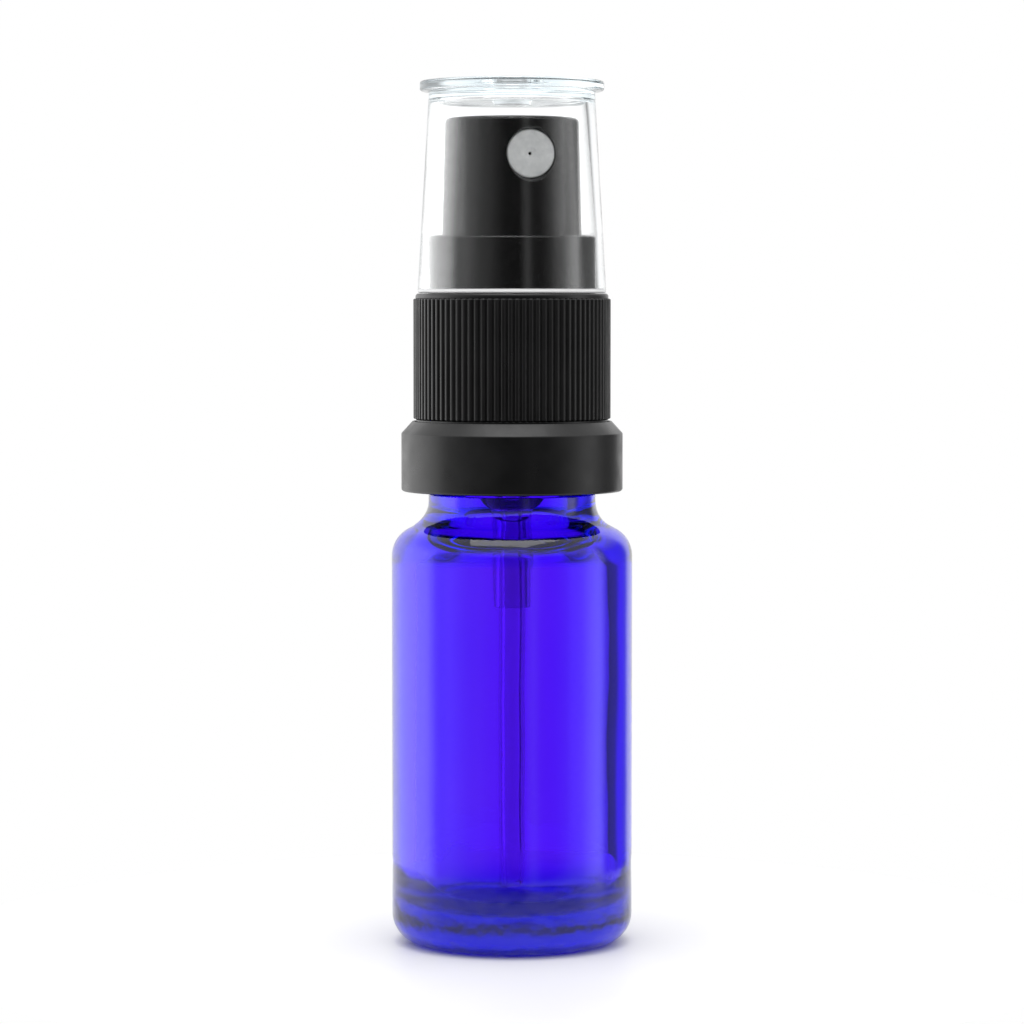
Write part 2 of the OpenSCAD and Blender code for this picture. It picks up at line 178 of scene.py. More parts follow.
light_surround(
    white=1.0,
    reflected=(1.1, [
        (-180, 0.7), (-165, 1.0), (-150, 1.35), (-125, 1.9), (-100, 2.3), (-87, 2.0), (-77, 0.8),
        (-60, 0.6), (-45, 0.33), (-28, 0.2), (-14, 0.08), (0, 0.05), (12, 0.08), (20, 0.3),
        (28, 0.1), (45, 0.12), (56, 0.35), (72, 0.8), (84, 1.5), (94, 1.5), (101, 0.5),
        (112, 0.3), (138, 0.3), (147, 1.1), (165, 1.0), (180, 0.7)]),
    through=(0.3, [(-180, 1.2), (180, 1.2)]))
add_softbox("Softbox_top", side_angle=radians(20), distance=0.06, height=0.6,
            width=0.45, tall=0.45, power=1.6)


def new_material(name, colour, **inputs):
    """Material whose Principled shader has this colour, with any other sockets set as constants."""
    material = bpy.data.materials.new(name)
    material.use_nodes = True
    shader = material.node_tree.nodes["Principled BSDF"]
    shader.inputs["Base Color"].default_value = (*colour, 1)
    for socket, value in inputs.items():
        shader.inputs[socket.replace("_", " ")].default_value = value
    return material


def speckle(material, per_metre, detail=3, stretch=(1, 1, 1)):
    """Noise over the piece, with a number of blobs per metre. Returns its value socket."""
    tree = material.node_tree
    place = add_node(tree, "ShaderNodeTexCoord")
    scaled = add_node(tree, "ShaderNodeMapping")
    scaled.inputs["Scale"].default_value = stretch
    blobs = add_node(tree, "ShaderNodeTexNoise")
    blobs.inputs["Scale"].default_value = per_metre
    blobs.inputs["Detail"].default_value = detail
    tree.links.new(place.outputs["Object"], scaled.inputs["Vector"])
    tree.links.new(scaled.outputs["Vector"], blobs.inputs["Vector"])
    return blobs.outputs["Fac"]


def spread(material, value, low, high, first=0.3, last=0.7):
    """Maps a noise value from its middle range onto low to high."""
    tree = material.node_tree
    ramp = add_node(tree, "ShaderNodeMapRange")
    ramp.inputs["From Min"].default_value = first
    ramp.inputs["From Max"].default_value = last
    ramp.inputs["To Min"].default_value = low
    ramp.inputs["To Max"].default_value = high
    tree.links.new(value, ramp.inputs["Value"])
    return ramp.outputs["Result"]


def feed_shader(material, socket, value):
    """Links a value to a socket of the Principled shader."""
    tree = material.node_tree
    tree.links.new(value, tree.nodes["Principled BSDF"].inputs[socket])


def vary_roughness(material, value, low, high):
    """Roughness that follows a pattern between two limits."""
    feed_shader(material, "Roughness", spread(material, value, low, high))


def vary_colour(material, value, dark, light):
    """Base colour that drifts between two tones."""
    tree = material.node_tree
    mix = add_node(tree, "ShaderNodeMix", data_type="RGBA")
    mix.inputs["A"].default_value = (*dark, 1)
    mix.inputs["B"].default_value = (*light, 1)
    tree.links.new(spread(material, value, 0, 1), mix.inputs["Factor"])
    feed_shader(material, "Base Color", mix.outputs["Result"])


def relief(material, *layers):
    """Fine relief of a surface: pairs of a pattern and its depth in metres, coarsest first."""
    tree = material.node_tree
    normal = None
    for value, depth in layers:
        bump = add_node(tree, "ShaderNodeBump")
        bump.inputs["Distance"].default_value = depth
        bump.inputs["Strength"].default_value = 1
        tree.links.new(value, bump.inputs["Height"])
        if normal:
            tree.links.new(normal, bump.inputs["Normal"])
        normal = bump.outputs["Normal"]
    feed_shader(material, "Normal", normal)


floor_r = 0.06
floor_paper = new_material("White_floor", (0.93, 0.93, 0.935), Roughness=0.4)
vary_roughness(floor_paper, speckle(floor_paper, 40), 0.36, 0.46)
floor_mesh = bmesh.new()
bmesh.ops.create_circle(floor_mesh, cap_ends=True, segments=96, radius=floor_r)
floor_data = bpy.data.meshes.new("Floor")
floor_mesh.to_mesh(floor_data)
floor_mesh.free()
floor_data.materials.append(floor_paper)
floor_sheet = bpy.data.objects.new("Floor", floor_data)
bpy.context.scene.collection.objects.link(floor_sheet)


# ---------------------------------------------------------------- Bottle
# Ten millilitre bottle of cobalt-blue soda-lime glass, blown in a two-part mould.
# It has a thick rounded heel, a domed base on a stippled foot ring, a short shoulder, a bead
# that holds the tamper band, and one and a half turns of an 18 mm screw thread.

MM = 0.001


def extent(node):
    """Lowest height, highest height and radius of a round CAD node, in millimetres."""
    low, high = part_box(node)
    return low.z / MM, high.z / MM, (high.x - low.x) / 2 / MM


def outline(corners, closed, turn=9, span=1.5):
    """Points round an outline of (radius, height, rounding) corners, all in millimetres.

    An arc takes a point each turn of degrees, and a straight is divided at each span.
    """
    points = []
    for i, (r, z, rounding) in enumerate(corners):
        corner = Vector((r, z))
        if not rounding:
            points.append(corner)
            continue
        back = (Vector(corners[i - 1][:2]) - corner).normalized()
        onward = (Vector(corners[(i + 1) % len(corners)][:2]) - corner).normalized()
        half = back.angle(onward) / 2
        centre = corner + (back + onward).normalized() * rounding / sin(half)
        first = corner + back * rounding / tan(half) - centre
        last = corner + onward * rounding / tan(half) - centre
        arcs = max(2, ceil(degrees(pi - 2 * half) / turn))
        points += [centre + first.slerp(last, k / arcs).normalized() * rounding
                   for k in range(arcs + 1)]
    path = points + points[:1] if closed else points
    divided = []
    for start, end in zip(path, path[1:]):
        parts = max(1, ceil((end - start).length / span))
        divided += [start.lerp(end, k / parts) for k in range(parts)]
    return divided if closed else divided + points[-1:]


def lathe(corners, steps, closed=True, turn=9, span=1.5):
    """Round solid turned from an outline, as a bmesh."""
    turned = bmesh.new()
    ring = [turned.verts.new((p.x * MM, 0, p.y * MM)) for p in outline(corners, closed, turn, span)]
    edges = [turned.edges.new(pair) for pair in zip(ring, ring[1:])]
    if closed:
        edges.append(turned.edges.new((ring[-1], ring[0])))
    bmesh.ops.spin(turned, geom=ring + edges, cent=(0, 0, 0), axis=(0, 0, 1), dvec=(0, 0, 0),
                   angle=tau, steps=steps, use_merge=True)
    bmesh.ops.remove_doubles(turned, verts=turned.verts, dist=0.0005 * MM)
    bmesh.ops.recalc_face_normals(turned, faces=turned.faces)
    return turned


def raise_thread(solid, wall_r, crest_r, start_z, turns):
    """Screw ridge on a round wall, made by moving the wall's points out or in to the crest."""
    pitch = 3
    root_half = 0.65
    crest_half = 0.3
    fade_turns = 0.12
    for v in solid.verts:
        r = hypot(v.co.x, v.co.y) / MM
        if abs(r - wall_r) > 0.02:
            continue
        around = atan2(v.co.y, v.co.x) / tau
        along = (v.co.z / MM - start_z) / pitch
        t = around + round(along - around)
        off_centre = abs(along - t) * pitch
        ridge = min(1, max(0, (root_half - off_centre) / (root_half - crest_half)))
        fade = min(1, max(0, min(t, turns - t) / fade_turns))
        new_r = wall_r + (crest_r - wall_r) * ridge * ridge * (3 - 2 * ridge) * fade
        v.co.x *= new_r / r
        v.co.y *= new_r / r


def add_piece(name, solid, material, body, slot, *nodes):
    """Object from a bmesh, smooth shaded, riding on a body in place of its CAD nodes."""
    mesh = bpy.data.meshes.new(name)
    solid.to_mesh(mesh)
    solid.free()
    mesh.polygons.foreach_set("use_smooth", [True] * len(mesh.polygons))
    mesh.materials.append(material)
    piece = bpy.data.objects.new(name, mesh)
    bpy.context.scene.collection.objects.link(piece)
    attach(piece, body)
    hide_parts(*nodes)
    return piece


lip_z, body_r = extent("bottle")[1:]
heel_r = 3
foot_r = body_r - heel_r
punt_r = foot_r - 1
punt_h = 1.4
shoulder_z = 41.9
neck_z = 43.9
neck_r = 8.6
groove_r = 8.2
groove_z = 46.75
root_r = 8.0
bead_r = 9.05
bead_z = 49.6
mouth_r = 5.8
inside_r = body_r - 2.45
inside_neck_z = 42.6
inside_shoulder_z = 40.4
floor_z = 3.5
thread_low_z = 50.95
thread_high_z = lip_z - 0.8
thread_rows = 44

bottle_outline = [
    (0, punt_h, 0), (punt_r / 2, punt_h, 24), (punt_r, 0, 0.35), (body_r, 0, heel_r),
    (body_r, shoulder_z, 3.1), (neck_r, neck_z, 3), (neck_r, groove_z - 0.35, 0.25),
    (groove_r, groove_z, 0.25), (groove_r, bead_z - 0.4, 0.2), (bead_r, bead_z, 0.25),
    (bead_r, bead_z + 0.7, 0.3),
    (root_r, thread_low_z - 0.1, 0.3),
    *[(root_r, thread_low_z + (thread_high_z - thread_low_z) * k / thread_rows, 0)
      for k in range(1, thread_rows + 1)],
    (root_r, lip_z, 0.6), (mouth_r, lip_z, 0.5),
    (mouth_r, inside_neck_z, 2.5), (inside_r, inside_shoulder_z, 2.2),
    (inside_r, floor_z, 4.5), (0, floor_z + 0.3, 0)
]
bottle_solid = lathe(bottle_outline, steps=192, closed=False, turn=6)
raise_thread(bottle_solid, root_r, crest_r=8.95, start_z=52.3, turns=1.5)

# The blown inside is never quite round, least of all at the heel and under the shoulder.
# The mould leaves two faint seams, a hazy heel and a stippled foot.
wave_depth = 0.08
wave_size = 0.007
settle_depth = 0.26
settle_size = 0.0034
settle_reach = 5
settle_middle = 0.6
inside_low_z = floor_z + 0.05
inside_high_z = 45
seam_height = 0.012
seam_turn = 0.31
seam_half_width = 0.002
stipple_depth = 0.09
stipple_count = 64
for v in bottle_solid.verts:
    r = hypot(v.co.x, v.co.y) / MM
    z = v.co.z / MM
    turn_here = (atan2(v.co.y, v.co.x) / tau) % 0.5
    if inside_low_z < z < inside_high_z and mouth_r - 0.02 < r < inside_r + 0.05:
        from_ends = min(z - inside_low_z, inside_high_z - z) / settle_reach
        settle = max(0, 1 - abs(from_ends - settle_middle) / settle_middle)
        swell = 1 + (wave_depth * min(1, from_ends) * noise.noise(v.co / wave_size)
                     + settle_depth * settle * noise.noise(v.co / settle_size)) / r
        v.co.x *= swell
        v.co.y *= swell
    elif r > body_r - 0.02 and abs(turn_here - seam_turn) < seam_half_width:
        v.co.x *= 1 + seam_height / r
        v.co.y *= 1 + seam_height / r
    elif z < 0.02 and punt_r + 0.2 < r < foot_r + 0.1:
        bump_here = 0.5 + 0.5 * cos(stipple_count * atan2(v.co.y, v.co.x))
        v.co.z += stipple_depth * MM * (1 - bump_here)
    elif floor_z - 0.1 < z < floor_z + 1 and r < inside_r:
        v.co.z += settle_depth * 0.5 * MM * noise.noise(v.co / settle_size)


def height_on(material):
    """Height above the foot in metres, as a value socket."""
    tree = material.node_tree
    place = add_node(tree, "ShaderNodeTexCoord")
    split = add_node(tree, "ShaderNodeSeparateXYZ")
    tree.links.new(place.outputs["Object"], split.inputs[0])
    return split.outputs["Z"]


def work_out(material, operation, *values):
    """Sum or product of two value sockets."""
    tree = material.node_tree
    result = add_node(tree, "ShaderNodeMath", operation=operation)
    for value, socket in zip(values, result.inputs):
        tree.links.new(value, socket)
    return result.outputs[0]


def tint_through(material, colour, density):
    """Colour that deepens with the thickness that light goes through."""
    tree = material.node_tree
    tint = add_node(tree, "ShaderNodeVolumeAbsorption")
    tint.inputs["Color"].default_value = (*colour, 1)
    tint.inputs["Density"].default_value = density
    tree.links.new(tint.outputs[0], tree.nodes["Material Output"].inputs["Volume"])


cobalt_glass = new_material("Cobalt_glass", (1, 1, 1), IOR=1.52, Transmission_Weight=1)
glass_height = height_on(cobalt_glass)
wall_haze = spread(cobalt_glass, speckle(cobalt_glass, 350, 4), 0, 0.03)
heel_haze = spread(cobalt_glass, glass_height, 0.18, 0, first=0.0055, last=0.0095)
feed_shader(cobalt_glass, "Roughness", work_out(cobalt_glass, "ADD", wall_haze, heel_haze))
near_heel = spread(cobalt_glass, glass_height, 1, 0, first=0.0035, last=0.0075)
heel_mottle = work_out(cobalt_glass, "MULTIPLY", speckle(cobalt_glass, 420, 2), near_heel)
relief(cobalt_glass,
       (speckle(cobalt_glass, 90, 2), 0.00006),
       (heel_mottle, 0.00014),
       (speckle(cobalt_glass, 900, 3, (1, 1, 0.3)), 0.0000015))
tint_through(cobalt_glass, (0.49, 0.03, 0.975), 1050)
add_piece("bottle_glass", bottle_solid, cobalt_glass, "bottle", "cobalt_glass", "bottle")


# ---------------------------------------------------------------- Tamper band
# Smooth ring of satin black polypropylene, moulded in one with the closure.
# When the closure is first unscrewed its ties break, and the ring stays loose under the
# glass bead, held by a lip inside it.

band_low_z, band_top_z, band_r = extent("tamper_band")
band_bevel_z = 52.65
band_bore_r = 10.05
band_shelf_z = 50.6
band_shelf_r = 9.3
lug_r = 8.72
lug_low_z = 48.2
lug_high_z = 48.8
band_solid = lathe([
    (9.4, band_low_z, 0.1), (band_r, band_low_z, 0.3), (band_r, band_bevel_z, 0.25),
    (band_bore_r + 0.2, band_top_z, 0.1), (band_bore_r, band_top_z, 0.05),
    (band_bore_r, band_shelf_z, 0.15), (band_shelf_r, band_shelf_z, 0.1),
    (band_shelf_r, lug_high_z + 0.3, 0.1), (lug_r, lug_high_z, 0.12), (lug_r, lug_low_z, 0.12),
    (band_shelf_r, lug_low_z - 1, 0.3)
], steps=160)

satin_black = new_material("Satin_black_polypropylene", (0.003, 0.003, 0.0034), IOR=1.49,
                           Specular_IOR_Level=0.42)
vary_colour(satin_black, speckle(satin_black, 260, 4),
            (0.002, 0.002, 0.0022), (0.0045, 0.0045, 0.0049))
vary_roughness(satin_black, speckle(satin_black, 420, 5), 0.26, 0.4)
relief(satin_black,
       (speckle(satin_black, 160, 2), 0.00003),
       (speckle(satin_black, 7000, 3), 0.0000035))
add_piece("tamper_ring", band_solid, satin_black,
          "tamper_band", "satin_black_plastic", "tamper_band")


# ---------------------------------------------------------------- Breakaway ties
# Ten small posts moulded between the closure's skirt and the shelf inside the band.
# They shear at the first turn and stay on the closure as stubs.

tie_count = 10
tie_r = 9.62
tie_size = (0.45, 0.7, 0.58)
tie_z = sum(extent("tamper_bridges")[:2]) / 2
ties = bmesh.new()
for i in range(tie_count):
    turned = Matrix.Rotation(tau * i / tie_count, 4, "Z")
    placed = Matrix.Translation((tie_r * MM, 0, tie_z * MM)) @ Matrix.Diagonal((*tie_size, 1))
    bmesh.ops.create_cube(ties, size=MM, matrix=turned @ placed)
bmesh.ops.bevel(ties, geom=ties.edges, offset=0.06 * MM, affect="EDGES", segments=2,
                profile=0.5, material=-1)
add_piece("breakaway_ties", ties, satin_black, "closure", "satin_black_plastic", "tamper_bridges")


# ---------------------------------------------------------------- Closure
# Screw cap of satin black polypropylene with ninety fine grip ribs between plain rims.
# A web across it clamps the pump's flange and gasket onto the glass lip, and its thread
# runs on the glass thread. It is spun off an unscrewing core, so it is one piece.


def join(target, extra):
    """Adds one bmesh to another and frees it."""
    carrier = bpy.data.meshes.new("carrier")
    extra.to_mesh(carrier)
    extra.free()
    target.from_mesh(carrier)
    bpy.data.meshes.remove(carrier)


closure_low_z, closure_top_z, closure_r = extent("closure")
rib_count = 90
rib_depth = 0.25
skirt_r = closure_r - rib_depth
rib_low_z = 54.15
rib_high_z = 66.45
web_low_z = 61.2
web_high_z = 62.4
closure_bore_r = 9.2
turret_bore_r = 8.75
web_hole_r = 5.6
groove_half = 0.27
flank_slope = 5
rib_core_r = skirt_r - 0.3
grip_back_r = skirt_r - 0.6
wall_rows = 46
row_height = 0.2
closure_solid = lathe([
    (closure_bore_r, closure_low_z, 0.1), (skirt_r, closure_low_z, 0.15),
    (skirt_r, rib_low_z - 0.1, 0.1), (rib_core_r, rib_low_z + 0.2, 0),
    (rib_core_r, rib_high_z - 0.2, 0), (skirt_r + 0.02, rib_high_z + 0.05, 0.1),
    (skirt_r + 0.02, closure_top_z, 0.3), (turret_bore_r, closure_top_z, 0.2),
    (turret_bore_r, web_high_z, 0.2), (web_hole_r, web_high_z, 0.1), (web_hole_r, web_low_z, 0.1),
    (closure_bore_r, web_low_z, 0.3),
    *[(closure_bore_r, web_low_z - 0.5 - row_height * k, 0) for k in range(wall_rows)]
], steps=144)
raise_thread(closure_solid, closure_bore_r, crest_r=8.3, start_z=51.1, turns=1.85)

grip = lathe([
    (grip_back_r, rib_low_z, 0), (closure_r, rib_low_z, 0.12),
    (closure_r, rib_high_z, 0.15), (grip_back_r, rib_high_z + 0.12, 0)
], steps=rib_count * 8, span=6)
for v in grip.verts:
    r = hypot(v.co.x, v.co.y) / MM
    if r > rib_core_r:
        phase = (atan2(v.co.y, v.co.x) / tau * rib_count) % 1
        groove = min(1, max(0, flank_slope * (groove_half - abs(phase - 0.5))))
        new_r = r - rib_depth * groove
        v.co.x *= new_r / r
        v.co.y *= new_r / r
join(closure_solid, grip)
add_piece("screw_closure", closure_solid, satin_black, "closure", "satin_black_plastic", "closure")


# ---------------------------------------------------------------- Turret ring
# High-gloss black polypropylene ring that snaps over the pump's cup above the closure's web.
# The button slides inside it, and the overcap grips its outside.

collar_low_z, collar_top_z, collar_r = extent("collar")
collar_bore_r = 7.5
collar_floor_z = collar_low_z + 1.25
sleeve_r = 5.5
sleeve_bore_r = 4.82
collar_solid = lathe([
    (sleeve_bore_r, collar_low_z, 0.1), (sleeve_r, collar_low_z, 0.1),
    (sleeve_r, collar_floor_z, 0.2), (collar_r, collar_floor_z, 0.25),
    (collar_r, collar_top_z, 0.3), (collar_bore_r, collar_top_z, 0.3),
    (collar_bore_r, collar_floor_z + 1, 0.4), (sleeve_r, collar_floor_z + 1, 0.2),
    (sleeve_r, collar_floor_z + 2, 0.1), (sleeve_bore_r, collar_floor_z + 2, 0.1)
], steps=144)

gloss_black = new_material("Gloss_black_polypropylene", (0.003, 0.003, 0.003), IOR=1.49)
vary_colour(gloss_black, speckle(gloss_black, 300, 3),
            (0.002, 0.002, 0.0022), (0.004, 0.0039, 0.0039))
vary_roughness(gloss_black, speckle(gloss_black, 700, 5), 0.07, 0.16)
relief(gloss_black,
       (speckle(gloss_black, 120, 2), 0.00003),
       (speckle(gloss_black, 2500, 4, (1, 1, 0.25)), 0.0000012))
add_piece("turret_ring", collar_solid, gloss_black, "pump", "gloss_black_plastic", "collar")


# ---------------------------------------------------------------- Button
# High-gloss black finger button, pressed onto the stem by a boss inside its skirt.
# Its top is slightly dished, and a round socket in its side takes the spray insert.

button_low_z, button_top_z, button_r = extent("actuator")
button_top_r = button_r - 0.4
button_roof_z = button_top_z - 1.7
boss_r = 3
boss_low_z = 71.5
stem_r = 1.75
stem_bore_r = 0.85
stem_top_z = extent("upper_stem")[1]
nozzle_low, nozzle_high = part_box("nozzle_insert")
nozzle_z = (nozzle_low.z + nozzle_high.z) / 2 / MM
nozzle_r = (nozzle_high.x - nozzle_low.x) / 2 / MM
nozzle_face_y = nozzle_low.y / MM
nozzle_rear_y = nozzle_high.y / MM
feed_z = nozzle_z + 1.65
stem_socket_r = stem_r + 0.01


def facing_out(solid, rear_y):
    """Turns a solid made on +Z so that it points out of the button's side, starting at rear_y."""
    at = Matrix.Translation((0, rear_y * MM, nozzle_z * MM)) @ Matrix.Rotation(pi / 2, 4, "X")
    bmesh.ops.transform(solid, matrix=at, verts=solid.verts)
    return solid


def combine(solid, tool, operation):
    """Unites a bmesh with another, or cuts it, and frees both."""
    pair = []
    for made in (solid, tool):
        mesh = bpy.data.meshes.new("blank")
        made.to_mesh(mesh)
        made.free()
        pair.append(bpy.data.objects.new("blank", mesh))
        bpy.context.scene.collection.objects.link(pair[-1])
    cut = pair[0].modifiers.new("cut", "BOOLEAN")
    cut.object = pair[1]
    cut.operation = operation
    cut.solver = "EXACT"
    bpy.context.view_layer.update()
    result = bmesh.new()
    result.from_object(pair[0], bpy.context.evaluated_depsgraph_get())
    for blank in pair:
        bpy.data.meshes.remove(blank.data)
    return result


button_solid = lathe([
    (0, button_top_z - 0.42, 0), (4.2, button_top_z - 0.3, 12),
    (button_top_r - 0.5, button_top_z, 0.5), (button_top_r, button_top_z, 0.45),
    (button_r, button_low_z, 0.25), (button_r - 0.9, button_low_z, 0.2),
    (button_top_r - 0.85, button_roof_z, 0.4), (boss_r, button_roof_z, 0.4),
    (boss_r, boss_low_z, 0.3), (stem_socket_r, boss_low_z, 0.15), (stem_socket_r, stem_top_z, 0),
    (stem_bore_r, stem_top_z, 0), (stem_bore_r, feed_z, 0), (0, feed_z, 0)
], steps=160, closed=False, turn=6)
block_r = 3.15
block_length = 5
block_rear_y = -1.08
block = lathe([
    (0, 0, 0), (block_r, 0, 0.2), (block_r, block_length, 0), (0, block_length, 0)
], steps=64, closed=False)
button_solid = combine(button_solid, facing_out(block, block_rear_y), "UNION")
socket_rear_y = -3.2
socket_r = nozzle_r + 0.06
socket_mouth_r = nozzle_r + 0.5
socket_flare_start = 3.35
socket_flare_end = 3.95
past_surface = 6
post_r = 1.2
post_length = 2.4
socket = lathe([
    (post_r, 0, 0), (socket_r, 0, 0), (socket_r, socket_flare_start, 0.3),
    (socket_mouth_r, socket_flare_end, 0), (socket_mouth_r, past_surface, 0),
    (0, past_surface, 0), (0, post_length, 0), (post_r, post_length, 0.1)
], steps=96)
button_solid = combine(button_solid, facing_out(socket, socket_rear_y), "DIFFERENCE")
bmesh.ops.remove_doubles(button_solid, verts=button_solid.verts, dist=0.0005 * MM)
button = add_piece("finger_button", button_solid, gloss_black,
                   "plunger", "gloss_black_plastic", "actuator")
button.data.set_sharp_from_angle(angle=radians(35))


# ---------------------------------------------------------------- Spray insert
# Small cup of off-white acetal pressed into the button's side.
# Liquid swirls between it and the post inside the socket and leaves by the fine orifice.

insert_length = nozzle_rear_y - nozzle_face_y
insert_r = nozzle_r - 0.03
insert_bore_r = 1.4
insert_wall = 0.6
orifice_r = 0.17
orifice_cone_r = 0.62
insert_solid = facing_out(lathe([
    (insert_bore_r, 0, 0.08), (insert_r, 0, 0.1), (insert_r, insert_length, 0.22),
    (orifice_cone_r, insert_length - 0.04, 0.1), (orifice_r, insert_length - 0.3, 0.05),
    (orifice_r, insert_length - insert_wall, 0),
    (insert_bore_r, insert_length - insert_wall, 0.1)
], steps=72, span=0.6), nozzle_rear_y)

soft_depth = (0.001, 0.001, 0.001)
white_acetal = new_material("White_acetal", (0.62, 0.63, 0.63), IOR=1.48,
                            Subsurface_Weight=0.15, Subsurface_Radius=soft_depth)
vary_colour(white_acetal, speckle(white_acetal, 1500, 4), (0.7, 0.71, 0.71), (0.84, 0.845, 0.84))
vary_roughness(white_acetal, speckle(white_acetal, 1800, 3), 0.35, 0.5)
relief(white_acetal, (speckle(white_acetal, 5000, 3), 0.000006))
add_piece("spray_insert", insert_solid, white_acetal, "plunger", "white_acetal", "nozzle_insert")


# ---------------------------------------------------------------- Overcap
# Clear polystyrene cap, injection moulded with a flange at its closed end.
# It narrows up from its frosted open rim, has a shallow dish and a round gate well on top,
# and pushes over the turret ring until its rim meets the closure.

cap_low_z, cap_top_z, cap_r = extent("overcap")
cap_flange_r = 9.45
cap_flange_z = cap_top_z - 1
cap_neck_r = 8.5
dish_r = 8.15
dish_z = cap_top_z - 0.3
gate_z = cap_top_z - 0.7
cap_roof_r = 7.55
cap_roof_z = cap_top_z - 1.8
cap_bore_r = collar_r + 0.05
cap_grip_z = 73.2
gate_r = 2.1
cap_solid = lathe([
    (0, gate_z, 0), (gate_r, gate_z, 0.15), (gate_r + 0.1, dish_z, 0.1),
    (dish_r, dish_z, 0.25), (dish_r + 0.25, cap_top_z, 0.15), (cap_flange_r, cap_top_z, 0.25),
    (cap_flange_r, cap_flange_z, 0.25), (cap_neck_r, cap_flange_z, 0.3), (cap_r, cap_low_z, 0.25),
    (cap_bore_r, cap_low_z, 0.2), (cap_bore_r, cap_grip_z, 4), (cap_roof_r, cap_roof_z, 0.6),
    (gate_r, cap_roof_z, 0.2), (gate_r - 0.3, cap_roof_z - 0.5, 0.2), (0, cap_roof_z - 0.5, 0)
], steps=160, closed=False, turn=6)

clear_plastic = new_material("Clear_polystyrene", (1, 1, 1), IOR=1.5, Transmission_Weight=1)
clear_height = height_on(clear_plastic)
rim_edge = ((cap_low_z + 0.3) * MM, (cap_low_z + 0.45) * MM)
frosted_rim = spread(clear_plastic, clear_height, 0.5, 0, *rim_edge)
polish = spread(clear_plastic, speckle(clear_plastic, 500, 4), 0, 0.035)
feed_shader(clear_plastic, "Roughness", work_out(clear_plastic, "ADD", frosted_rim, polish))
feed_shader(clear_plastic, "Transmission Weight",
            spread(clear_plastic, clear_height, 0.25, 1, *rim_edge))
relief(clear_plastic,
       (speckle(clear_plastic, 100, 2), 0.00002),
       (speckle(clear_plastic, 1800, 3, (1, 1, 0.2)), 0.0000008))
tint_through(clear_plastic, (0.55, 0.85, 0.97), 18)
add_piece("clear_overcap", cap_solid, clear_plastic, "overcap", "clear_plastic", "overcap")


# ---------------------------------------------------------------- Pump body, gasket and tube
# The pump body is natural polypropylene: a flange on the gasket, a cup above it, the barrel,
# and a tail that hangs through the neck with the dip tube pushed into it.
# The gasket is soft polyethylene and the tube is extruded, cut aslant at its foot.

gasket_low_z, gasket_top_z, gasket_r = extent("neck_gasket")
soft_white = new_material("Soft_polyethylene", (0.78, 0.78, 0.76), IOR=1.51,
                          Subsurface_Weight=0.2, Subsurface_Radius=soft_depth)
vary_roughness(soft_white, speckle(soft_white, 900, 3), 0.45, 0.6)
relief(soft_white, (speckle(soft_white, 3000, 3), 0.000006))
gasket_solid = lathe([
    (mouth_r, gasket_low_z, 0.15), (gasket_r, gasket_low_z, 0.15),
    (gasket_r, gasket_top_z, 0.15), (mouth_r, gasket_top_z, 0.15)
], steps=96)
add_piece("lip_gasket", gasket_solid, soft_white, "pump", "soft_polyethylene", "neck_gasket")

tail_low_z, cup_top_z, flange_r = extent("pump_housing")
barrel_r = 3.8
barrel_bore_r = 3
cup_r = 4.8
cup_bore_r = 3.9
cup_low_z = 60.6
spring_seat_z = extent("return_spring")[0]
tube_low_z, tube_top_z, tube_r = extent("dip_tube")
cage_r = 1.35
throat_r = 0.9
seat_r = 0.8
seat_z = 44.2
housing_solid = lathe([
    (cage_r, tail_low_z, 0.08), (1.85, tail_low_z, 0.12), (2.2, 44.3, 0.5), (2.6, 44.9, 0.4),
    (3.5, 46.1, 0.4), (barrel_r, 46.9, 0.5), (barrel_r, gasket_top_z, 0.2),
    (flange_r, gasket_top_z, 0.15), (flange_r, web_low_z, 0.15), (cup_r, web_low_z, 0.1),
    (cup_r, cup_top_z, 0.1), (cup_bore_r, cup_top_z, 0.1), (cup_bore_r, cup_low_z, 0.1),
    (barrel_bore_r, cup_low_z - 0.3, 0.1), (barrel_bore_r, spring_seat_z, 0.2),
    (throat_r, spring_seat_z, 0.08), (throat_r, spring_seat_z - 0.3, 0.05),
    (cage_r, spring_seat_z - 0.3, 0.1), (cage_r, seat_z + 0.55, 0.1), (seat_r, seat_z, 0.1),
    (seat_r, tube_top_z, 0.05), (cage_r, tube_top_z, 0.05)
], steps=96)

natural_plastic = new_material("Natural_polypropylene", (1, 1, 1), IOR=1.45,
                               Transmission_Weight=0.93)
vary_roughness(natural_plastic, speckle(natural_plastic, 800, 3), 0.06, 0.14)
relief(natural_plastic, (speckle(natural_plastic, 2200, 3, (1, 1, 0.2)), 0.000003))
add_piece("pump_body", housing_solid, natural_plastic,
          "pump", "natural_polypropylene", "pump_housing")

tube_bore_r = 0.8
tube_cut = radians(35)
tube_solid = lathe([
    (tube_bore_r, tube_low_z, 0), (tube_r, tube_low_z, 0), (tube_r, tube_top_z, 0.06),
    (tube_bore_r, tube_top_z, 0.06)
], steps=48)
cut_at = Vector((-tube_r * MM, 0, tube_low_z * MM))
cut_through = bmesh.ops.bisect_plane(
    tube_solid, geom=tube_solid.verts[:] + tube_solid.edges[:] + tube_solid.faces[:],
    plane_co=cut_at, plane_no=(sin(tube_cut), 0, -cos(tube_cut)), clear_outer=True)
cut_edges = [e for e in cut_through["geom_cut"] if isinstance(e, bmesh.types.BMEdge)]
bmesh.ops.bridge_loops(tube_solid, edges=cut_edges)
bmesh.ops.recalc_face_normals(tube_solid, faces=tube_solid.faces)
tube_piece = add_piece("suction_tube", tube_solid, natural_plastic,
                       "pump", "natural_polypropylene", "dip_tube")
tube_piece.data.set_sharp_from_angle(angle=radians(40))


